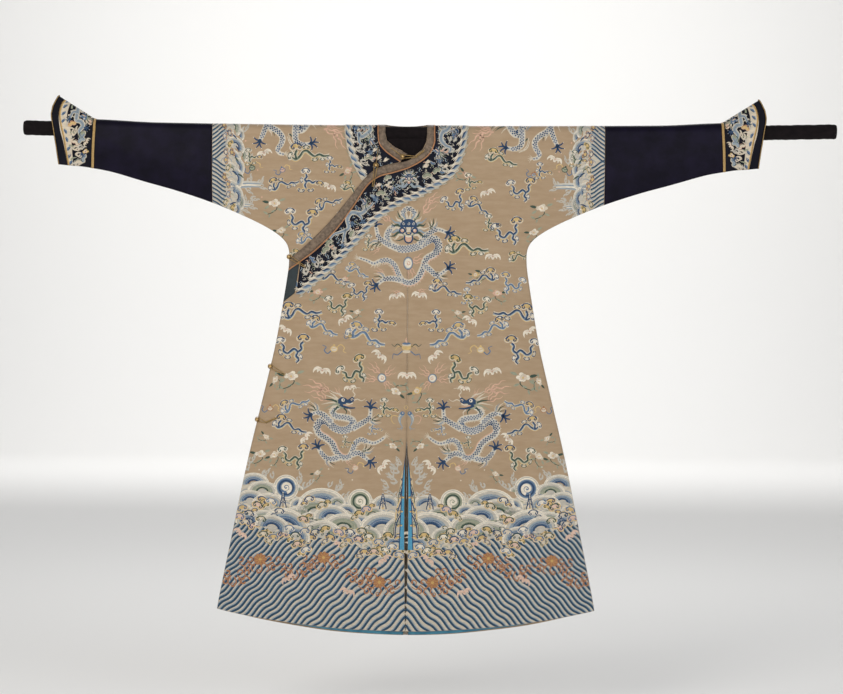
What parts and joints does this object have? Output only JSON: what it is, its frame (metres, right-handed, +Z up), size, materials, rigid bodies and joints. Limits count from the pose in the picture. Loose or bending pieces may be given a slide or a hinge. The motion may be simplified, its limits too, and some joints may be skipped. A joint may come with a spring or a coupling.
{
  "type": "chinese dragon robe on a display rod",
  "caption": "Long silk dragon robe with a side closing, long sleeves and flared cuffs, hung flat on a padded display rod run through the sleeves.",
  "frame": {"origin": "on the axis of the display rod, under the middle of the shoulders", "axes": "+X to the wearer's left, -Y out of the robe's front, +Z up"},
  "size_m": [2.28, 0.0642, 1.5129],
  "materials": {
    "kesi": "tapestry-woven silk, tan ground, closely woven and slightly ribbed",
    "navy_satin": "plain satin silk, soft sheen",
    "cuff_silk": "tapestry-woven silk, blue-black ground",
    "gold_braid": "flat braid and cord of gold thread",
    "band_silk": "tapestry-woven silk, blue-black ground",
    "rope_border": "woven border like a twisted rope, cream and blue",
    "binding_silk": "brocaded silk binding, grey mauve",
    "piping": "narrow orange silk piping",
    "facing": "plain silk, dark teal",
    "lining": "plain silk lining, turquoise",
    "gilt": "gilt metal balls, engraved, slightly worn",
    "gold_cord": "round cord of gold thread",
    "rod_cover": "matt black cloth over a padded rod"
  },
  "bodies": {
    "root": {"back_left": "kesi", "back_right": "kesi", "band_back": "band_silk", "band_inner": "band_silk", "band_outer": "band_silk", "binding_back": "binding_silk", "binding_inner": "binding_silk", "binding_outer": "binding_silk", "button_collar": "gilt", "button_neck": "gilt", "button_side_lower": "gilt", "button_side_upper": "gilt", "button_underarm": "gilt", "cuff_cord_left_back": "gold_braid", "cuff_cord_left_front": "gold_braid", "cuff_cord_right_back": "gold_braid", "cuff_cord_right_front": "gold_braid", "cuff_left_back": "cuff_silk", "cuff_left_front": "cuff_silk", "cuff_right_back": "cuff_silk", "cuff_right_front": "cuff_silk", "front_inner": "kesi", "front_left": "kesi", "front_overlap": "kesi", "hem_lining_back_left": "lining", "hem_lining_back_right": "lining", "hem_lining_front_left": "lining", "hem_lining_front_overlap": "lining", "loop_collar": "gold_cord", "loop_neck": "gold_cord", "loop_side_lower": "gold_cord", "loop_side_upper": "gold_cord", "loop_underarm": "gold_cord", "piping_back": "piping", "piping_inner": "piping", "piping_outer": "piping", "rod": "rod_cover", "rod_drape": "rod_cover", "rope_border_back": "rope_border", "rope_border_inner": "rope_border", "rope_border_outer": "rope_border", "side_facing": "facing", "sleeve_left_back": "navy_satin", "sleeve_left_front": "navy_satin", "sleeve_right_back": "navy_satin", "sleeve_right_front": "navy_satin", "slit_facing_left": "lining", "slit_facing_overlap": "lining", "stem_collar": "gold_cord", "stem_neck": "gold_cord", "wrist_braid_left_back": "gold_braid", "wrist_braid_left_front": "gold_braid", "wrist_braid_right_back": "gold_braid", "wrist_braid_right_front": "gold_braid"}
  },
  "joints": []
}
